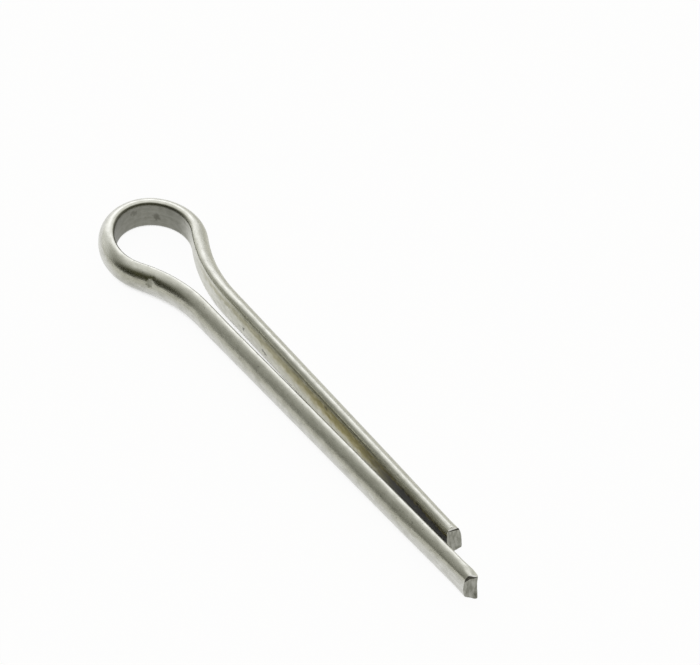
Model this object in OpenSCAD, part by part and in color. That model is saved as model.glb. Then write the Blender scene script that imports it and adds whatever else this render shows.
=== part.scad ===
// Split cotter pin, lying on its side.
// One half-round wire is folded flat side inwards into an eye, two necks and two legs,
// and the legs are sheared off at unequal lengths.
// z = 0 is the surface that the pin lies on, and +X runs from the eye to the tail.
// The origin is under the middle of the pin's outline.

/* [Wire] */
// Width of the half-round wire, across its flat
wire_w = 2.74; // [2.4:0.02:3.4]
// Thickness of the wire, from its flat to the top of its round
wire_t = 1.4; // [1:0.05:1.5]
// Radius of the two corners between the flat and the round
corner_r = 0.36; // [0.2:0.02:0.44]

/* [Eye] */
// Inside radius of the crown, the closed end of the eye
crown_r = 2.7; // [2:0.1:3.5]
// Arc of the crown on each side, counted from the line of that side's leg, in degrees
crown_half_arc = 40.2; // [25:0.1:60]
// Inside radius of the flank that leads to the short leg
short_flank_r = 3.7; // [3:0.1:5]
// Inside radius of the flank that leads to the long leg
long_flank_r = 4.1; // [3:0.1:5]

/* [Necks] */
// Angle that the neck of the short leg turns through, in degrees
short_neck_angle = 27.1; // [22:0.1:40]
// Angle that the neck of the long leg turns through, in degrees
long_neck_angle = 29.7; // [22:0.1:40]

/* [Legs] */
// Distance from the inside of the crown to the end of the short leg
short_side = 44.2; // [30:0.1:60]
// How far the long leg stands out past the short one
overhang = 4.5; // [1:0.1:8]
// Angle at which each leg closes in on the other, in degrees
leg_close = 0.8; // [0.2:0.1:1.2]
// Gap between the two flats at the end of the short leg
tail_gap = 0.62; // [0.3:0.02:1.2]

/* [Sheared ends] */
// Lean of the sheared faces, which sets their top back from their foot, in degrees
shear_lean = 4; // [0:1:12]
// Radius that the shear rolled the top edge of the long leg's end to
long_roll_r = 0.9; // [0.3:0.05:1.3]
// Radius that the shear rolled the top edge of the short leg's end to
short_roll_r = 0.45; // [0.3:0.05:1.3]

/* [Hidden] */
$fn = 96;

// The section is part of a circle, cut off by the flat, with its two corners rounded.
// The circle touches both corners from outside and passes through the top of the round.
corner_z = wire_w / 2 - corner_r;
corner_depth = wire_t - corner_r;
round_r = (pow(corner_depth, 2) + pow(corner_z, 2) - pow(corner_r, 2))
    / (2 * (corner_depth - corner_r));
round_x = wire_t - round_r;
blend = round_r / (round_r - corner_r);
blend_x = round_x + (corner_r - round_x) * blend;
blend_z = corner_z * blend;

// Plan of one side of the pin, drawn with the crown's centre at [0, 0] and its leg along +X.
// The flank's arc touches the crown's, and the neck's arc touches the flank's from outside.
// Its radius is the one that brings the wire down onto the line of the leg.
function along(angle) = [cos(angle), sin(angle)];
function turned(point, angle) =
    [point * along(-angle), point * along(90 - angle)];

flank_begin = 180 - crown_half_arc;
neck_end = 270;
leg_line = turned([short_side - crown_r, tail_gap / 2], leg_close)[1];
function flank_end(neck_angle) = 90 - neck_angle;
function flank_centre(flank_r) = (crown_r - flank_r) * along(flank_begin);
function neck_start(flank_r, neck_angle) =
    flank_centre(flank_r) + flank_r * along(flank_end(neck_angle));
function neck_r(flank_r, neck_angle) =
    (neck_start(flank_r, neck_angle)[1] - leg_line) / (1 - cos(neck_angle));
function neck_centre(flank_r, neck_angle) =
    neck_start(flank_r, neck_angle) + neck_r(flank_r, neck_angle) * along(flank_end(neck_angle));

// Outline of the whole pin, from the crown's centre
long_side = short_side + overhang;
function side_edge(flank_r) = turned(flank_centre(flank_r), -leg_close)[1] + flank_r + wire_t;
middle_x = long_side / 2 - crown_r - wire_t / 2;
middle_y = (side_edge(short_flank_r) - side_edge(long_flank_r)) / 2;

// Moves to a point in two steps, a round one and the small rest,
// so that the bends and the leg meet exactly
module put(x, y = 0) {
    step = 0.001;
    round_x_step = round(x / step) * step;
    round_y_step = round(y / step) * step;
    translate([round_x_step, round_y_step])
        translate([x - round_x_step, y - round_y_step]) children();
}

// Section of the wire, with its flat on x = 0 and its round towards +X
module wire_section() {
    translate([0, wire_w / 2]) {
        intersection() {
            translate([round_x, 0]) circle(r = round_r);
            polygon([[0, corner_z], [blend_x, blend_z], [wire_t + wire_w, wire_w],
                [wire_t + wire_w, -wire_w], [blend_x, -blend_z], [0, -corner_z]]);
        }
        for (edge = [-1, 1]) translate([corner_r, edge * corner_z]) circle(r = corner_r);
    }
}

// How far each bend reaches past its ends, in degrees: too little to see,
// and enough for it to fuse with its neighbours
reach = 0.00002;

// Bend whose centre is on the flat side of the wire
module inward_bend(r, start, turn)
    rotate_extrude(angle = turn + 2 * reach, start = start - reach) put(r) wire_section();

// Bend whose centre is on the round side of the wire
module outward_bend(r, start, turn)
    rotate_extrude(angle = turn + 2 * reach, start = start - reach) put(r)
        mirror([1, 0]) wire_section();

// What the shear takes off the end of a leg:
// all past its leaning face, and the corner over the rolled top edge.
// The roll's centre is a little less than its radius from both faces, which leaves a clear edge.
module shear_cut(end_x, roll_r) {
    spare = wire_w; // how far the cut reaches past the wire, above and below
    roll_depth = 0.97 * roll_r;
    roll_z = wire_w - roll_depth;
    roll_x = end_x - roll_z * tan(shear_lean) - roll_depth / cos(shear_lean);
    translate([0, long_side]) rotate([90, 0]) linear_extrude(2 * long_side) {
        polygon([[end_x + spare * tan(shear_lean), -spare], [end_x + long_side, -spare],
            [end_x + long_side, 2 * spare], [end_x - 2 * spare * tan(shear_lean), 2 * spare]]);
        difference() {
            polygon([[roll_x, roll_z], [end_x, roll_z], [end_x, 2 * spare], [roll_x, 2 * spare]]);
            translate([roll_x, roll_z]) circle(r = roll_r);
        }
    }
}

// One side of the pin, from the middle of the crown to the end of its leg.
// The crown's parts of both sides are one ring, and they overlap in its middle.
module side(flank_r, neck_angle, end_x, roll_r) {
    crown_overlap = 5; // degrees
    flank = flank_centre(flank_r);
    neck = neck_centre(flank_r, neck_angle);
    inward_bend(crown_r, flank_begin, crown_half_arc + crown_overlap);
    put(flank[0], flank[1])
        inward_bend(flank_r, flank_end(neck_angle), flank_begin - flank_end(neck_angle));
    put(neck[0], neck[1])
        outward_bend(neck_r(flank_r, neck_angle), neck_end - neck_angle, neck_angle);
    difference() {
        put(neck[0], leg_line) rotate([90, 0, 90])
            linear_extrude(end_x - neck[0] + wire_w) wire_section();
        shear_cut(end_x, roll_r);
    }
}

module cotter_pin() {
    color("silver") translate([-middle_x, -middle_y]) {
        rotate(-leg_close)
            side(short_flank_r, short_neck_angle, short_side - crown_r, short_roll_r);
        mirror([0, 1]) rotate(-leg_close)
            side(long_flank_r, long_neck_angle, long_side - crown_r, long_roll_r);
    }
}

cotter_pin();
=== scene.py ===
"""Looks of a split cotter pin that lies on its side: drawn half-round steel wire with sheared ends.

The wire is one mesh, swept from a section by spins and straight extrusions, as it is folded.
Lengths are in millimetres unless a name says otherwise, and +X runs from the eye to the tail.
"""

import math

import bmesh
import bpy
from mathutils import Matrix, Vector, noise


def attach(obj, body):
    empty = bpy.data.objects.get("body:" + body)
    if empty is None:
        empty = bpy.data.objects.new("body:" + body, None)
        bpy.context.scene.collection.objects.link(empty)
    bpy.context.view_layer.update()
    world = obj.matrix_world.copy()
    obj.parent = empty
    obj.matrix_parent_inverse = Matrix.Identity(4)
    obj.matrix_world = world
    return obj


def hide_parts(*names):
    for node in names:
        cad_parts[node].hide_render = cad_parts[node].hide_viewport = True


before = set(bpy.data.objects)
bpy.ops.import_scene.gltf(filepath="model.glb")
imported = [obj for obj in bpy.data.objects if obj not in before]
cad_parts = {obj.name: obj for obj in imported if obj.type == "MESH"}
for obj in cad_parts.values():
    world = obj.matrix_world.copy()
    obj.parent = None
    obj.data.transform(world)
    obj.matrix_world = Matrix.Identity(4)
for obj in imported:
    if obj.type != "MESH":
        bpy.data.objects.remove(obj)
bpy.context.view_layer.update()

MM = 0.001
UP = Vector((0, 0, 1))

# Wire: width across the flat, thickness, and radius of the corners between flat and round
WIRE_W = 2.74
WIRE_T = 1.4
CORNER_R = 0.36

# Eye: inside radii of the crown and of the two flanks, and the crown's arc on each side
CROWN_R = 2.7
CROWN_HALF_ARC = 40.2

# Legs: distance from the crown's inside to the short leg's end, and what the long leg adds.
# Then how many degrees each leg leans in, and the gap between the legs at the short one's end.
SHORT_SIDE = 44.2
OVERHANG = 4.5
LONG_SIDE = SHORT_SIDE + OVERHANG
LEG_CLOSE = 0.8
TAIL_GAP = 0.62

# The two sides of the pin, by the sign of Y. First the fold: flank radius, neck's turn, reach.
# The rest is what the shear did to the end, where a pair is at the flat and at the round:
#   crease         height of the line between the torn face and the dark band above it
#   dark_band      height of the band over the crease, painted nearly black as a dark reflection
#   setback, lean  how far back the face stands at its foot, and its angle from upright
#   roll           how far back the top edge is rolled over
#   lip            length drawn out at the foot
#   square         how square the corners are: flat foot, flat top, round foot, round top
#   pulled         share that the round lost of its depth beyond PULLED_FROM
#   press, spread  how far the top of the flat was pressed down, and out
#   flat_rounding  how far the flat falls back at 1 mm above FLAT_ROUNDS_FROM
SIDES = {
    1: {"flank_r": 3.7, "neck_angle": 27.1, "reach": SHORT_SIDE,
        "crease": (2.5, 2.08), "setback": (0.17, 0.1), "lean": (2, 2), "roll": (0.08, 0.08),
        "dark_band": (0.04, 0.28), "lip": 0.06, "square": (0.3, 0.3, 0.75, 0.1), "pulled": 0.5,
        "press": 0.0, "spread": 0.0, "flat_rounding": 0.22},
    -1: {"flank_r": 4.1, "neck_angle": 29.7, "reach": LONG_SIDE,
         "crease": (2.42, 1.95), "setback": (0.0, 0.24), "lean": (0, 0), "roll": (0.06, 0.06),
         "dark_band": (0.05, 0.75), "lip": 0.28, "square": (0.4, 0.7, 0.1, 0), "pulled": 0.6,
         "press": 0.36, "spread": 0.04, "flat_rounding": 0.09},
}

# Spacing of the mesh along the wire, along the necks where the nick is, and near the ends
RING_STEP = 0.25
NECK_STEP = 0.1
SHEAR_STEP = 0.1

# Points that are closer than this are one point
WELD = 1e-4

# Length of leg that the shear squared up, that it pressed down, and that it pulled thin
SHEAR_ZONE = 1.6
PRESS_ZONE = 1.1
PULL_ZONE = 9.0

# Relief of the torn face: fine streaks, and lumps that are wider
GRAIN_DEPTH = 0.015
LUMP_DEPTH = 0.04
LUMP_SCALE = 0.35

# The flats round off towards their tops: the height at which that starts, the share of the leg
# over which it comes in, and the depth behind the flat at which it has faded out
FLAT_ROUNDS_FROM = 1.9
FLAT_ROUNDS_IN = 0.12
FLAT_ROUNDS_DEPTH = 0.9

# Depth from the flat at which the thinning of the round starts
PULLED_FROM = 1.05

# Where the squaring of the corners splits the section, as a share of the thickness
SQUARE_MIDDLE = 0.44

# Nick on the outside of the long side's neck: its place in the straight wire, its half-sizes
# and its depth
NICK = Vector((-10.5, 1.25, 1.86))
NICK_SIZE = Vector((0.38, 1.0, 0.38))
NICK_DEPTH = 0.07

# Rings of a sheared face, as shares of the section
CUT_RINGS = (0.04,) + (0.08,) * 12

# Slots of the three finishes on the wire; the third is a band painted nearly black, as a dark
# reflection
SKIN, TORN_FACE, SHADED_EDGE = 0, 1, 2

# Edges that are sharper than this many degrees stay sharp in the shading
SHARP_ANGLE = 40


def along(degrees):
    """Direction of an angle in the plan."""
    angle = math.radians(degrees)
    return Vector((math.cos(angle), math.sin(angle), 0))


def turned(point, degrees):
    return Matrix.Rotation(math.radians(degrees), 3, "Z") @ point


class Side:
    """Plan of one side, first with the crown's centre at the origin and the leg along +X."""

    def __init__(self, sign):
        size = SIDES[sign]
        flank_r = size["flank_r"]
        neck_angle = size["neck_angle"]
        flank_end = 90 - neck_angle
        leg_line = turned(Vector((SHORT_SIDE - CROWN_R, TAIL_GAP / 2, 0)), LEG_CLOSE).y
        flank = (CROWN_R - flank_r) * along(180 - CROWN_HALF_ARC)
        neck_start = flank + flank_r * along(flank_end)
        neck_r = (neck_start.y - leg_line) / (1 - math.cos(math.radians(neck_angle)))
        neck = neck_start + neck_r * along(flank_end)
        self.sign = sign
        self.flank_r = flank_r
        self.neck_r = neck_r
        self.crown_turn = CROWN_HALF_ARC + LEG_CLOSE
        self.flank_turn = 180 - CROWN_HALF_ARC - flank_end
        self.neck_turn = neck_angle
        self.flank = self.placed(flank)
        self.neck = self.placed(neck)
        self.leg_run = size["reach"] - CROWN_R - neck.x
        self.leg_way = self.placed(Vector((1, 0, 0)))
        self.across = self.placed(Vector((0, 1, 0)))
        self.shear = size
        self.edge = abs(self.flank.y) * math.copysign(1, self.flank.y * sign) + flank_r + WIRE_T

    def placed(self, point):
        """The point in the pin's plan: the side is closed in, and mirrored if it is the long one."""
        closed = turned(point, -LEG_CLOSE)
        return Vector((closed.x, closed.y * self.sign, 0))


SHORT = Side(1)
LONG = Side(-1)
MIDDLE = Vector((LONG_SIDE / 2 - CROWN_R - WIRE_T / 2, (SHORT.edge - LONG.edge) / 2, 0))


# ---------------------------------------------------------------- the wire


def section(bm, straight):
    """Ring of the wire's section at the crown's middle, flat inwards, and its edges."""
    corner_z = WIRE_W / 2 - CORNER_R
    depth = WIRE_T - CORNER_R
    round_r = (depth**2 + corner_z**2 - CORNER_R**2) / (2 * (depth - CORNER_R))
    round_x = WIRE_T - round_r
    meet = math.degrees(math.atan2(corner_z, CORNER_R - round_x))
    centre_z = WIRE_W / 2
    flat_steps = 18
    corner_steps = 8
    round_steps = 26

    def arc(vert, x, z, degrees, steps):
        out = bmesh.ops.spin(bm, geom=[vert], cent=(x, 0, z), axis=(0, -1, 0),
                             angle=math.radians(degrees), steps=steps)
        return [e for e in out["geom_last"] if isinstance(e, bmesh.types.BMVert)][0]

    start = bm.verts.new((0, 0, centre_z - corner_z))
    vert = arc(start, CORNER_R, centre_z - corner_z, 180 - meet, corner_steps)
    vert = arc(vert, round_x, centre_z, 2 * meet, round_steps)
    vert = arc(vert, CORNER_R, centre_z + corner_z, 180 - meet, corner_steps)
    for _ in range(flat_steps):
        out = bmesh.ops.extrude_vert_indiv(bm, verts=[vert])
        vert = out["verts"][0]
        bmesh.ops.translate(bm, verts=[vert], vec=(0, 0, -2 * corner_z / flat_steps))
    bmesh.ops.remove_doubles(bm, verts=bm.verts, dist=WELD)
    for vert in bm.verts:
        vert[straight] = (0, vert.co.x, vert.co.z)
    # The section is drawn with its round towards +X, and the crown's middle has it towards -X
    bmesh.ops.rotate(bm, verts=bm.verts, cent=(0, 0, 0), matrix=Matrix.Rotation(math.pi, 3, "Z"))
    bmesh.ops.translate(bm, verts=bm.verts, vec=(-CROWN_R, 0, 0))
    return list(bm.edges)


def faces_of(geom):
    return [f for f in geom if isinstance(f, bmesh.types.BMFace)]


def edges_of(geom):
    return [e for e in geom if isinstance(e, bmesh.types.BMEdge)]


def verts_of(edges):
    """Each point of the edges once, in an order that is the same on each run."""
    return list(dict.fromkeys(v for e in edges for v in e.verts))


class Sweep:
    """Runs a ring of edges on along the wire, and notes how far each new ring has come."""

    def __init__(self, bm, edges, straight, sign):
        self.bm = bm
        self.edges = edges
        self.straight = straight
        self.sign = sign
        self.run = 0.0

    def note(self, verts, run):
        for vert in verts:
            place = vert[self.straight]
            vert[self.straight] = (self.sign * run, place[1], place[2])

    def bend(self, centre, degrees, length, step=RING_STEP):
        """One bend about a centre in the plan, as single spins so that each ring is noted."""
        steps = max(2, round(length / step))
        for _ in range(steps):
            out = bmesh.ops.spin(self.bm, geom=self.edges + verts_of(self.edges), cent=centre,
                                 axis=UP, angle=math.radians(degrees / steps), steps=1)
            self.edges = edges_of(out["geom_last"])
            self.run += length / steps
            self.note(verts_of(self.edges), self.run)

    def leg(self, way, length, step):
        steps = round(length / step)
        for _ in range(steps):
            out = bmesh.ops.extrude_edge_only(self.bm, edges=self.edges)
            self.edges = [e for e in edges_of(out["geom"]) if len(e.link_faces) == 1]
            bmesh.ops.translate(self.bm, verts=verts_of(self.edges), vec=way * length / steps)
            self.run += length / steps
            self.note(verts_of(self.edges), self.run)

    def cut_face(self, across, crease, dark_band):
        """Closes the end with rings that shrink to its middle: torn, and over a crease a band of
        painted dark reflection.
        """
        places = [v[self.straight] for v in verts_of(self.edges)]
        centre = sum((v.co for v in verts_of(self.edges)), Vector()) / len(places)
        middle = sum(places, Vector()) / len(places)
        faces = []
        left = 1.0
        for inset in CUT_RINGS:
            out = bmesh.ops.extrude_edge_only(self.bm, edges=self.edges)
            faces += faces_of(out["geom"])
            self.edges = [e for e in edges_of(out["geom"]) if len(e.link_faces) == 1]
            step = (left - inset) / left
            left -= inset
            for vert in verts_of(self.edges):
                vert.co = centre + (vert.co - centre) * step
                vert[self.straight] = middle + (vert[self.straight] - middle) * step
        faces += bmesh.ops.edgeloop_fill(self.bm, edges=self.edges)["faces"]
        rim = list(dict.fromkeys(e for f in faces for e in f.edges))
        lines = []
        for line in (crease, (crease[0] + dark_band[0], crease[1] + dark_band[1])):
            slope = (line[1] - line[0]) / WIRE_T
            on_line = centre + UP * (line[0] + slope * middle.y - middle.z)
            upwards = UP - across * slope
            lines.append((on_line, upwards))
            out = bmesh.ops.bisect_plane(self.bm, geom=faces + rim + verts_of(rim), dist=WELD,
                                         plane_co=on_line, plane_no=upwards)
            faces = faces_of(out["geom"])
            rim = edges_of(out["geom"])
        for face in faces:
            middle_of_face = face.calc_center_median()
            over = [(middle_of_face - on_line).dot(upwards) > 0 for on_line, upwards in lines]
            face.material_index = (
                SKIN if all(over) else SHADED_EDGE if over[0] else TORN_FACE)


def ease(start, end, value):
    """Smooth step from 0 at start to 1 at end."""
    share = min(max((value - start) / (end - start), 0), 1)
    return share * share * (3 - 2 * share)


def between(pair, share):
    return pair[0] + (pair[1] - pair[0]) * min(max(share, 0), 1)


def rounded_off(side, place, share):
    """The flat curves away towards its top, and so does the corner above it."""
    over = max(place.z - FLAT_ROUNDS_FROM, 0)
    amount = side.shear["flat_rounding"] * ease(0, FLAT_ROUNDS_IN, share)
    return place + Vector((0, amount * over**2 * max(1 - place.y / FLAT_ROUNDS_DEPTH, 0), 0))


def pulled_thin(side, place, share):
    """The shear drew the leg out, so its round is thinner towards the end."""
    off = max(place.y - PULLED_FROM, 0)
    return place - Vector((0, off * side.shear["pulled"] * share**1.3, 0))


def pressed_square(side, place, share):
    """The section's corners as the shear pressed them."""
    half_w = WIRE_W / 2
    middle = WIRE_T * SQUARE_MIDDLE
    half_t = middle if place.y < middle else WIRE_T - middle
    u = (place.y - middle) / half_t
    v = (place.z - half_w) / half_w
    foot, top, round_foot, round_top = side.shear["square"]
    on_round = ease(-0.6, 0.6, u)
    at_foot = between((foot, round_foot), on_round)
    at_top = between((top, round_top), on_round)
    square = between((at_foot, at_top), ease(-0.6, 0.6, v)) * share**1.5
    widen = 1 + (1 / max(abs(u), abs(v)) - 1) * square
    return Vector((place.x, middle + u * widen * half_t, half_w + v * widen * half_w))


def pressed_down(side, place, share):
    """The blade pressed the top of the flat down and out where it came in."""
    on_top = ease(1.2, WIRE_W, place.z) * ease(0.75, 0.1, place.y)
    down = side.shear["press"] * on_top * share**1.6
    out = side.shear["spread"] * on_top * ease(0, 0.6, share)
    return place - Vector((0, out, down))


def set_back(side, place, share):
    """The sheared face is skew, is rolled over at its top and has a lip at its foot."""
    across, height = place.y / WIRE_T, place.z
    back = between(side.shear["setback"], across)
    back += height * math.tan(math.radians(between(side.shear["lean"], across)))
    crease = between(side.shear["crease"], across)
    if height > crease:
        u = min((height - crease) / (WIRE_W - crease), 1)
        back += between(side.shear["roll"], across * 2) * (1 - math.sqrt(1 - u * u))
    else:
        torn = ease(0, 0.2, crease - height)
        # Upright streaks, with a pattern of its own for each side
        spot = Vector((across * 12, height * 3, 7 * side.sign))
        back += GRAIN_DEPTH * torn * noise.noise(spot)
        back += LUMP_DEPTH * torn * noise.noise(spot * LUMP_SCALE)
    near_flat = ease(-0.05, 0.2, place.y) * ease(0.7, 0.25, place.y)
    back -= side.shear["lip"] * ease(0.75, 0, height) * near_flat
    return place - Vector((side.sign * back * share, 0, 0))


def reshape(side, sweep, length, change):
    """Moves the points of a leg's last stretch to where the change puts them."""
    start = sweep.run - length
    for vert in sweep.bm.verts:
        place = vert[sweep.straight].copy()
        share = (place.x * side.sign - start) / length
        if share > 0:
            new = change(side, place, share)
            moved = new - place
            vert.co += side.leg_way * moved.x * side.sign + side.across * moved.y + UP * moved.z
            vert[sweep.straight] = new


def dent_nick(bm, straight):
    """Presses the nick into the wire's outside, with a ragged edge."""
    bm.normal_update()
    for vert in bm.verts:
        off = vert[straight] - NICK
        ragged = 1 + 0.5 * noise.noise(vert[straight] * 4)
        reach = Vector((off[i] / NICK_SIZE[i] for i in range(3))).length * ragged
        vert.co -= vert.normal * NICK_DEPTH * ease(1.3, 0.3, reach)


def make_wire():
    """Folds the wire from the crown's middle to both ends, and then works its ends and nick."""
    bm = bmesh.new()
    straight = bm.verts.layers.float_vector.new("straight")
    ring = section(bm, straight)
    mid = WIRE_T / 2
    for side in (SHORT, LONG):
        sweep = Sweep(bm, ring, straight, side.sign)
        sweep.bend(Vector((0, 0, 0)), -side.sign * side.crown_turn,
                   math.radians(side.crown_turn) * (CROWN_R + mid))
        sweep.bend(side.flank, -side.sign * side.flank_turn,
                   math.radians(side.flank_turn) * (side.flank_r + mid))
        sweep.bend(side.neck, side.sign * side.neck_turn,
                   math.radians(side.neck_turn) * (side.neck_r - mid), NECK_STEP)
        sweep.leg(side.leg_way, side.leg_run - SHEAR_ZONE, RING_STEP)
        sweep.leg(side.leg_way, SHEAR_ZONE, SHEAR_STEP)
        reshape(side, sweep, side.leg_run, rounded_off)
        reshape(side, sweep, PULL_ZONE, pulled_thin)
        reshape(side, sweep, SHEAR_ZONE, pressed_square)
        sweep.cut_face(side.across, side.shear["crease"], side.shear["dark_band"])
        reshape(side, sweep, PRESS_ZONE, pressed_down)
        reshape(side, sweep, SHEAR_ZONE, set_back)
    bmesh.ops.recalc_face_normals(bm, faces=bm.faces)
    dent_nick(bm, straight)
    bmesh.ops.translate(bm, verts=bm.verts, vec=-MIDDLE)
    bmesh.ops.scale(bm, verts=bm.verts, vec=(MM, MM, MM))
    mesh = bpy.data.meshes.new("cotter_pin_wire")
    bm.to_mesh(mesh)
    bm.free()
    mesh.shade_smooth()
    mesh.set_sharp_from_angle(angle=math.radians(SHARP_ANGLE))
    piece = bpy.data.objects.new("cotter_pin_wire", mesh)
    bpy.context.scene.collection.objects.link(piece)
    return piece


wire = make_wire()
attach(wire, "root")
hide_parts("cotter_pin")

# ---------------------------------------------------------------- material

# Colours of the skin: its round, its flat, the flat inside the eye, darkened there as painted
# shade, and what dims it in the dents' clouds and in the die's lines
ROUND = "#dadad6"
FLAT = "#dadad2"
EYE_SHADE = "#92928a"
CLOUD = "#ececea"
LINE = "#f7f7f5"

# Colours of what lies on it, stain and dirt, and of painted shade: a line on the flat and a film
# between the legs
STAIN = "#cdc078"
SHADE_LINE = "#d8d6c4"
DIRT = "#3a382c"
GAP_SHADE = "#0f0e08"

# Colours of the sheared faces, and of the band on their edges that is painted nearly black as a
# dark reflection, each darkest and brightest
TORN = "#88887e"
TORN_BRIGHT = "#b4b4ac"
EDGE_SHADE = "#24231c"
EDGE_SHADE_BRIGHT = "#4c4a41"

# Places along the wire at which each is gone and full, in millimetres from the crown's middle
EYE_FADES = (8.5, 5.0)
SHADE_LINE_RUN = (8.0, 15.0)
STAIN_RUN = (16.0, 32.0)
GAP_SHADE_RUN = (34.0, 41.0)

# Heights at which each is gone and full: the painted shade line, of which a tenth stays above,
# the painted shade film, and the stretch above that film that is rubbed
SHADE_LINE_TOP = (2.4, 1.9)
GAP_SHADE_TOP = (2.2, 1.8)
RUBBED_FROM = (1.85, 2.5)

# Roughness of the round and the flat, and what the eye's inside, the dents, the rubbed stretch
# and the nick add to it. Then that of the torn face and of the painted dark band on its edge.
ROUND_ROUGH = 0.22
FLAT_ROUGH = 0.24
EYE_ROUGH = 0.15
DENT_ROUGH = 0.1
RUBBED_ROUGH = 0.5
NICK_ROUGH = 0.35
TORN_ROUGH = 0.5
EDGE_SHADE_ROUGH = 0.35

# Relief in the shading: of the die's lines, the dents, the nick's edge and the torn grain
LINE_RELIEF = 0.0009
DENT_RELIEF = 0.005
NICK_RELIEF = 0.015
TORN_RELIEF = 0.007

# Dirty spots on the flat: place along the wire and height, half-length and half-height, strength
SPOTS = (
    (18.6, 0.9, 0.2, 0.15, 0.8),
    (21.7, 0.75, 0.45, 0.15, 0.8),
    (30.5, 1.9, 0.3, 0.2, 0.7),
    (2.8, 1.2, 0.5, 0.5, 0.45),
    (0.4, 1.9, 0.5, 0.35, 0.4),
)


def srgb(code):
    """Linear colour of a hex code such as "#c8c6bd"."""
    values = [int(code[i:i + 2], 16) / 255 for i in (1, 3, 5)]
    return [v / 12.92 if v <= 0.04045 else ((v + 0.055) / 1.055) ** 2.4 for v in values] + [1]


def add(tree, kind, inputs=None, **settings):
    """Adds a node. Each input is a number, a colour, a socket, or a node whose result it takes."""
    node = tree.nodes.new(kind)
    for name, value in settings.items():
        setattr(node, name, value)
    for key, value in (inputs or {}).items():
        in_use = [s for s in node.inputs if s.enabled]
        socket = in_use[key] if isinstance(key, int) else next(s for s in in_use if s.name == key)
        if isinstance(value, bpy.types.Node):
            value = next(s for s in value.outputs if s.enabled)
        if isinstance(value, bpy.types.NodeSocket):
            tree.links.new(value, socket)
        else:
            socket.default_value = value
    return node


def blank_material(name):
    material = bpy.data.materials.new(name)
    material.use_nodes = True
    material.node_tree.nodes.clear()
    return material, material.node_tree


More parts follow.
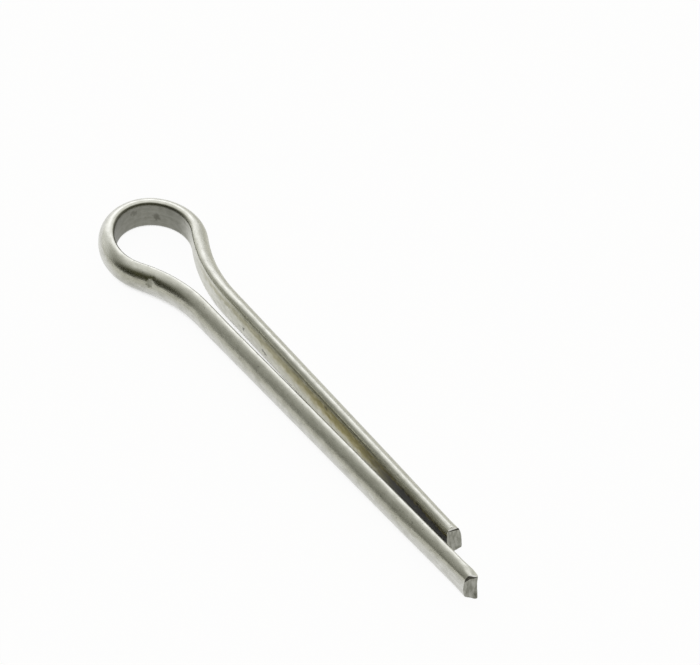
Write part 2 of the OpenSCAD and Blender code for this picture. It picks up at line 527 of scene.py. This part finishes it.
def drawn_steel():
    """Bright drawn steel with a thin zinc coat: fine lines along the wire, and soft reflections.

    On the short leg the flat is stained towards the tail, and it carries painted shade where it
    faces the long leg: a dark line along its top and a nearly black film deep at the tail.
    Inside the eye the flat is rougher and darker, and that darkness is painted shade.
    """
    material, tree = blank_material("drawn_steel_zinc_coated")
    smooth = {"interpolation_type": "SMOOTHSTEP"}
    times = {"operation": "MULTIPLY"}
    plus_times = {"operation": "MULTIPLY_ADD"}
    rgb = {"data_type": "RGBA"}
    dim = {"data_type": "RGBA", "blend_type": "MULTIPLY"}

    place = add(tree, "ShaderNodeAttribute", attribute_name="straight").outputs["Vector"]
    parts = add(tree, "ShaderNodeSeparateXYZ", {0: place})
    run, across = parts.outputs["X"], parts.outputs["Y"]
    flat = add(tree, "ShaderNodeMapRange", {0: across, 1: 0.2, 2: 0.1}, **smooth)

    # The die's lines are a few hundredths of a millimetre apart, and drawn 0.1 mm apart to show
    stretched = add(tree, "ShaderNodeMapping", {"Vector": place, "Scale": (0.5, 9, 9)})
    lines = add(tree, "ShaderNodeTexNoise", {"Vector": stretched, "Scale": 1.0, "Detail": 2.0})
    # Handling left soft dents of a third to one millimetre
    squeezed = add(tree, "ShaderNodeMapping", {"Vector": place, "Scale": (1.3, 2.6, 2.6)})
    dents = add(tree, "ShaderNodeTexNoise", {"Vector": squeezed, "Scale": 1.0, "Detail": 5.0})
    pits = add(tree, "ShaderNodeTexNoise", {"Vector": place, "Scale": 5.0, "Detail": 2.0})
    # The same place with a wandering of 0.2 mm, for ragged outlines
    ragged = add(tree, "ShaderNodeTexNoise", {"Vector": place, "Scale": 2.5, "Detail": 4.0})
    ragged = add(tree, "ShaderNodeVectorMath",
                 {0: ragged.outputs["Color"], 1: (0.9, 0.9, 0.9), 2: place},
                 operation="MULTIPLY_ADD")
    ragged = add(tree, "ShaderNodeVectorMath", {0: ragged, 1: (0.45, 0.45, 0.45)},
                 operation="SUBTRACT")
    ragged_height = add(tree, "ShaderNodeSeparateXYZ", {0: ragged}).outputs["Z"]

    # Clean skin, paler on the rolled flat, and darker inside the eye, which is painted shade
    colour = add(tree, "ShaderNodeMix", {"Factor": flat, "A": srgb(ROUND), "B": srgb(FLAT)}, **rgb)
    far = add(tree, "ShaderNodeMath", {0: run}, operation="ABSOLUTE")
    eye = add(tree, "ShaderNodeMapRange", {0: far, 1: EYE_FADES[0], 2: EYE_FADES[1]}, **smooth)
    inside = add(tree, "ShaderNodeMath", {0: flat, 1: eye}, **times)
    colour = add(tree, "ShaderNodeMix", {"Factor": inside, "A": colour, "B": srgb(EYE_SHADE)},
                 **rgb)
    cloud = add(tree, "ShaderNodeMapRange", {0: dents, 1: 0.35, 2: 0.7}, **smooth)
    colour = add(tree, "ShaderNodeMix", {"Factor": cloud, "A": colour, "B": srgb(CLOUD)}, **dim)
    line = add(tree, "ShaderNodeMapRange", {0: lines, 1: 0.7, 2: 0.3}, **smooth)
    colour = add(tree, "ShaderNodeMix", {"Factor": line, "A": colour, "B": srgb(LINE)}, **dim)

    # Painted shade: a dark line along the top of the short leg's flat, which faces the long leg,
    # wider towards the tail; with it a stain that is yellower towards the tail
    patchy = add(tree, "ShaderNodeMapRange", {0: dents, 1: 0.3, 2: 0.6, 3: 0.7, 4: 1.1})
    shade_and_stain = add(tree, "ShaderNodeMapRange", {0: run, 1: SHADE_LINE_RUN[0], 2: SHADE_LINE_RUN[1]}, **smooth)
    shade_and_stain = add(tree, "ShaderNodeMath", {0: shade_and_stain, 1: flat}, **times)
    shade_and_stain = add(tree, "ShaderNodeMath", {0: shade_and_stain, 1: patchy}, **times)
    level = add(tree, "ShaderNodeMath", {0: run, 1: 0.014, 2: ragged_height}, **plus_times)
    top_line = add(tree, "ShaderNodeMapRange",
                   {0: parts.outputs["Z"], 1: SHADE_LINE_TOP[0], 2: SHADE_LINE_TOP[1], 3: 0.1}, **smooth)
    shade_and_stain = add(tree, "ShaderNodeMath", {0: shade_and_stain, 1: top_line}, **times)
    shaded_line = add(tree, "ShaderNodeMapRange", {0: level, 1: 1.5, 2: 2.0}, **smooth)
    shaded_line = add(tree, "ShaderNodeMath", {0: shaded_line, 1: shade_and_stain}, **times)
    colour = add(tree, "ShaderNodeMix", {"Factor": shaded_line, "A": colour, "B": srgb(SHADE_LINE)},
                 **dim)
    stained = add(tree, "ShaderNodeMapRange", {0: run, 1: STAIN_RUN[0], 2: STAIN_RUN[1]})
    stained = add(tree, "ShaderNodeMath", {0: stained, 1: shade_and_stain}, **times)
    yellow = add(tree, "ShaderNodeMapRange", {0: level, 1: 1.0, 2: 1.9, 3: 0.15}, **smooth)
    stained = add(tree, "ShaderNodeMath", {0: stained, 1: yellow}, **times)
    colour = add(tree, "ShaderNodeMix", {"Factor": stained, "A": colour, "B": srgb(STAIN)}, **dim)

    # Dirt: spots, and specks in the pits. Painted shade: a dark film deep on the short leg's tail,
    # between the legs
    specks = add(tree, "ShaderNodeMapRange", {0: pits, 1: 0.69, 2: 0.74, 4: 0.5}, **smooth)
    colour = add(tree, "ShaderNodeMix", {"Factor": specks, "A": colour, "B": srgb(DIRT)}, **rgb)
    for spot_run, spot_height, length, tall, strength in SPOTS:
        offset = (-spot_run / length, 0, -spot_height / tall)
        near = add(tree, "ShaderNodeMapping",
                   {"Vector": ragged, "Scale": (1 / length, 0, 1 / tall), "Location": offset})
        off = add(tree, "ShaderNodeVectorMath", {0: near}, operation="LENGTH")
        spot = add(tree, "ShaderNodeMapRange", {0: off, 1: 1.0, 2: 0.4, 4: strength}, **smooth)
        spot = add(tree, "ShaderNodeMath", {0: spot, 1: flat}, **times)
        colour = add(tree, "ShaderNodeMix", {"Factor": spot, "A": colour, "B": srgb(DIRT)}, **rgb)
    tail = add(tree, "ShaderNodeMapRange", {0: run, 1: GAP_SHADE_RUN[0], 2: GAP_SHADE_RUN[1]}, **smooth)
    deep = add(tree, "ShaderNodeMapRange",
               {0: ragged_height, 1: GAP_SHADE_TOP[0], 2: GAP_SHADE_TOP[1]}, **smooth)
    gap_shaded = add(tree, "ShaderNodeMath", {0: tail, 1: deep}, **times)
    gap_shaded = add(tree, "ShaderNodeMath", {0: gap_shaded, 1: flat}, **times)
    colour = add(tree, "ShaderNodeMix", {"Factor": gap_shaded, "A": colour, "B": srgb(GAP_SHADE)}, **rgb)

    # Roughness of the skin, of its flat and of the eye's inside, with the dents' variation,
    # of the tail's flat where it is rubbed, above the film of painted shade, and of the nick
    rough = add(tree, "ShaderNodeMapRange", {0: flat, 3: ROUND_ROUGH, 4: FLAT_ROUGH})
    rough = add(tree, "ShaderNodeMath", {0: inside, 1: EYE_ROUGH, 2: rough}, **plus_times)
    rough = add(tree, "ShaderNodeMath", {0: dents, 1: DENT_ROUGH, 2: rough}, **plus_times)
    rubbed = add(tree, "ShaderNodeMapRange",
                 {0: ragged_height, 1: RUBBED_FROM[0], 2: RUBBED_FROM[1], 4: RUBBED_ROUGH}, **smooth)
    rubbed = add(tree, "ShaderNodeMath", {0: rubbed, 1: tail}, **times)
    rough = add(tree, "ShaderNodeMath", {0: rubbed, 1: flat, 2: rough}, **plus_times)
    near = add(tree, "ShaderNodeVectorMath", {0: ragged, 1: NICK}, operation="SUBTRACT")
    near = add(tree, "ShaderNodeVectorMath", {0: near, 1: NICK_SIZE}, operation="DIVIDE")
    off = add(tree, "ShaderNodeVectorMath", {0: near}, operation="LENGTH")
    scarred = add(tree, "ShaderNodeMapRange", {0: off, 1: 1.1, 2: 0.6, 4: NICK_ROUGH}, **smooth)
    rough = add(tree, "ShaderNodeMath", {0: rough, 1: scarred})

    # Relief: lines 1 micron deep, dents 5 microns deep, and the nick's ragged edge
    relief = add(tree, "ShaderNodeBump", {"Height": lines, "Distance": LINE_RELIEF * MM})
    relief = add(tree, "ShaderNodeBump",
                 {"Height": dents, "Distance": DENT_RELIEF * MM, "Normal": relief})
    nick = add(tree, "ShaderNodeMapRange", {0: off, 1: 0.3, 2: 1.0}, **smooth)
    relief = add(tree, "ShaderNodeBump",
                 {"Height": nick, "Distance": NICK_RELIEF * MM, "Normal": relief})

    steel = add(tree, "ShaderNodeBsdfPrincipled", {
        "Base Color": colour, "Metallic": 1.0, "Roughness": rough, "Normal": relief})
    add(tree, "ShaderNodeOutputMaterial", {"Surface": steel})
    return material


def sheared_steel():
    """Bare steel where the leg was sheared: matt grey, with faint upright lines."""
    material, tree = blank_material("sheared_steel")
    place = add(tree, "ShaderNodeAttribute", attribute_name="straight").outputs["Vector"]
    stretched = add(tree, "ShaderNodeMapping", {"Vector": place, "Scale": (2, 4, 1.3)})
    torn = add(tree, "ShaderNodeTexNoise", {"Vector": stretched, "Scale": 1.0, "Detail": 3.0})
    shade = add(tree, "ShaderNodeMapRange", {0: torn, 1: 0.3, 2: 0.7},
                interpolation_type="SMOOTHSTEP")
    colour = add(tree, "ShaderNodeMix", {"Factor": shade, "A": srgb(TORN), "B": srgb(TORN_BRIGHT)},
                 data_type="RGBA")
    relief = add(tree, "ShaderNodeBump", {"Height": torn, "Distance": TORN_RELIEF * MM})
    steel = add(tree, "ShaderNodeBsdfPrincipled", {
        "Base Color": colour, "Metallic": 1.0, "Roughness": TORN_ROUGH, "Normal": relief})
    add(tree, "ShaderNodeOutputMaterial", {"Surface": steel})
    return material


def edge_shade_steel():
    """Band at the top of the cut, above the crease, painted nearly black as a dark reflection."""
    material, tree = blank_material("steel_with_painted_dark_edge")
    place = add(tree, "ShaderNodeAttribute", attribute_name="straight").outputs["Vector"]
    rubbed = add(tree, "ShaderNodeTexNoise", {"Vector": place, "Scale": 4.0, "Detail": 2.0})
    shade = add(tree, "ShaderNodeMapRange", {0: rubbed, 1: 0.3, 2: 0.7})
    colour = add(tree, "ShaderNodeMix",
                 {"Factor": shade, "A": srgb(EDGE_SHADE), "B": srgb(EDGE_SHADE_BRIGHT)},
                 data_type="RGBA")
    steel = add(tree, "ShaderNodeBsdfPrincipled", {
        "Base Color": colour, "Metallic": 1.0, "Roughness": EDGE_SHADE_ROUGH})
    add(tree, "ShaderNodeOutputMaterial", {"Surface": steel})
    return material


for finish in (drawn_steel(), sheared_steel(), edge_shade_steel()):
    wire.data.materials.append(finish)

# ---------------------------------------------------------------- stage, light and camera


# The table's half-width is in metres. It glows by these shares, as a well-lit white table does,
# and shows shadows with the rest. The glow dies away in narrow places, where little of the sky
# is open. In reflections it is a pool of light along the pin that ends a few millimetres off,
# but goes on beyond the eye.
TABLE_COLOUR = "#faf9f2"
TABLE_HALF_WIDTH = 1.5
TABLE_GLOW = 0.96
NARROW = 3.0
CLOSED_SKY = 0.08
OPEN_SKY = 0.28
POOL_GLOW = 0.85
DIM_GLOW = 0.05
POOL = (1.5, 8.0)
EYE_SIDE = (-18, -26)
EYE_SHIFT = 6.0

# Studio: pale walls, a soft box opposite the camera, a dark room behind the camera with a darker
# door on its left, and a dark stand on each side. The light and the reflections come from it,
# and the camera itself sees white. Each patch is an azimuth, an elevation, a half-width and a
# half-height in degrees, and the shares of those at which it starts to fade and has faded out.
WALL = "#fdfdf6"
DARK = "#4b4b28"
DARKER = "#1d1d08"
SOFT_BOX = (150, 20, 42, 30), (0.4, 1.3)
SOFT_BOX_LIGHT = 1.6
ROOM = (-32, 17, 88, 36), (0.75, 1.65)
STAND = (-140, 41, 27, 19), (0.3, 1.5)
STAND_SHARE = 0.5
DOOR = (-97, 11, 30, 30), (0.3, 1.2)
DOOR_SHARE = 1
LOW_STAND = (100, 3, 36, 30), (0.3, 1.2)
LOW_STAND_SHARE = 0.3


def make_floor():
    bm = bmesh.new()
    bmesh.ops.create_grid(bm, x_segments=1, y_segments=1, size=TABLE_HALF_WIDTH)
    mesh = bpy.data.meshes.new("floor")
    bm.to_mesh(mesh)
    bm.free()
    floor = bpy.data.objects.new("floor", mesh)
    bpy.context.scene.collection.objects.link(floor)
    material, tree = blank_material("white_table")
    path = add(tree, "ShaderNodeLightPath").outputs
    seen = add(tree, "ShaderNodeMath", {0: path["Is Camera Ray"], 1: path["Is Transmission Ray"]},
               operation="MAXIMUM")
    sky = add(tree, "ShaderNodeAmbientOcclusion", {"Distance": NARROW * MM}, samples=8)
    lit = add(tree, "ShaderNodeMapRange", {0: sky.outputs["AO"], 1: CLOSED_SKY, 2: OPEN_SKY},
              interpolation_type="SMOOTHSTEP")
    seen = add(tree, "ShaderNodeMath", {0: seen, 1: TABLE_GLOW}, operation="MULTIPLY")
    place = add(tree, "ShaderNodeTexCoord").outputs["Object"]
    place = add(tree, "ShaderNodeSeparateXYZ", {0: place}).outputs
    off = add(tree, "ShaderNodeMath", {0: place["Y"]}, operation="ABSOLUTE")
    shift = add(tree, "ShaderNodeMapRange",
                {0: place["X"], 1: EYE_SIDE[0] * MM, 2: EYE_SIDE[1] * MM, 4: EYE_SHIFT * MM})
    off = add(tree, "ShaderNodeMath", {0: off, 1: shift}, operation="SUBTRACT")
    mirrored = add(tree, "ShaderNodeMapRange",
                   {0: off, 1: POOL[0] * MM, 2: POOL[1] * MM, 3: POOL_GLOW, 4: DIM_GLOW},
                   interpolation_type="SMOOTHSTEP")
    share = add(tree, "ShaderNodeMath", {0: path["Is Glossy Ray"], 1: mirrored, 2: seen},
                operation="MULTIPLY_ADD")
    share = add(tree, "ShaderNodeMath", {0: share, 1: lit}, operation="MULTIPLY")
    matt = add(tree, "ShaderNodeBsdfDiffuse", {"Color": srgb(TABLE_COLOUR)})
    white = add(tree, "ShaderNodeEmission", {"Strength": 1.0})
    both = add(tree, "ShaderNodeMixShader", {0: share, 1: matt, 2: white})
    add(tree, "ShaderNodeOutputMaterial", {"Surface": both})
    mesh.materials.append(material)
    return floor


def patch(tree, direction, size, edge):
    """1 inside an oval patch of the sky, fading to 0 outside."""
    azimuth, elevation, half_width, half_height = (math.radians(v) for v in size)
    turned_to = add(tree, "ShaderNodeVectorRotate", {"Vector": direction, "Angle": -azimuth},
                    rotation_type="Z_AXIS")
    parts = add(tree, "ShaderNodeSeparateXYZ", {0: turned_to}).outputs
    side = add(tree, "ShaderNodeMath", {0: parts["Y"], 1: parts["X"]}, operation="ARCTAN2")
    rise = add(tree, "ShaderNodeMath", {0: parts["Z"]}, operation="ARCSINE")
    both = add(tree, "ShaderNodeCombineXYZ", {"X": side, "Y": rise})
    sized = add(tree, "ShaderNodeMapping",
                {"Vector": both, "Location": (0, -elevation / half_height, 0),
                 "Scale": (1 / half_width, 1 / half_height, 0)})
    reach = add(tree, "ShaderNodeVectorMath", {0: sized}, operation="LENGTH")
    return add(tree, "ShaderNodeMapRange", {0: reach, 1: edge[1], 2: edge[0]},
               interpolation_type="SMOOTHSTEP")


def make_world():
    world = bpy.data.worlds.new("studio")
    world.use_nodes = True
    bpy.context.scene.world = world
    tree = world.node_tree
    tree.nodes.clear()
    rgb = {"data_type": "RGBA"}
    direction = add(tree, "ShaderNodeTexCoord").outputs["Generated"]
    box_colour = [SOFT_BOX_LIGHT] * 3 + [1]
    light = add(tree, "ShaderNodeMix", {"Factor": patch(tree, direction, *SOFT_BOX),
                                        "A": srgb(WALL), "B": box_colour}, **rgb)
    light = add(tree, "ShaderNodeMix", {"Factor": patch(tree, direction, *ROOM), "A": light,
                                        "B": srgb(DARK)}, **rgb)
    for spot, share, shade in ((STAND, STAND_SHARE, DARK), (LOW_STAND, LOW_STAND_SHARE, DARK),
                               (DOOR, DOOR_SHARE, DARKER)):
        part = add(tree, "ShaderNodeMath", {0: patch(tree, direction, *spot), 1: share},
                   operation="MULTIPLY")
        light = add(tree, "ShaderNodeMix", {"Factor": part, "A": light, "B": srgb(shade)}, **rgb)
    studio = add(tree, "ShaderNodeBackground", {"Color": light, "Strength": 1.0})
    white = add(tree, "ShaderNodeBackground", {"Color": (1, 1, 1, 1), "Strength": 1.0})
    path = add(tree, "ShaderNodeLightPath").outputs
    seen = add(tree, "ShaderNodeMath", {0: path["Is Camera Ray"], 1: path["Is Transmission Ray"]},
               operation="MAXIMUM")
    both = add(tree, "ShaderNodeMixShader", {0: seen, 1: studio, 2: white})
    add(tree, "ShaderNodeOutputWorld", {"Surface": both})


make_floor()
make_world()

# Camera: direction from the pin, distance and focal length in pixels of a 700-pixel-wide frame
VIEW_AZIMUTH = -34.69
VIEW_ELEVATION = 46.0
VIEW_DISTANCE = 359.13
VIEW_ROLL = -0.737
FOCAL_PX = 4454.3
FRAME_PX = 700
AIM = Vector((-2.353, 7.250, 1.45))

way = along(VIEW_AZIMUTH) * math.cos(math.radians(VIEW_ELEVATION))
way.z = math.sin(math.radians(VIEW_ELEVATION))
lens = bpy.data.cameras.new("camera")
lens.sensor_width = 36
lens.lens = lens.sensor_width * FOCAL_PX / FRAME_PX
lens.clip_start = 0.01
lens.clip_end = 10
camera = bpy.data.objects.new("camera", lens)
bpy.context.scene.collection.objects.link(camera)
look = (-way).to_track_quat("-Z", "Y").to_matrix().to_4x4()
roll = Matrix.Rotation(math.radians(VIEW_ROLL), 4, "Z")
camera.matrix_world = Matrix.Translation((AIM + way * VIEW_DISTANCE) * MM) @ look @ roll
bpy.context.scene.camera = camera
bpy.context.scene.view_settings.view_transform = "Standard"
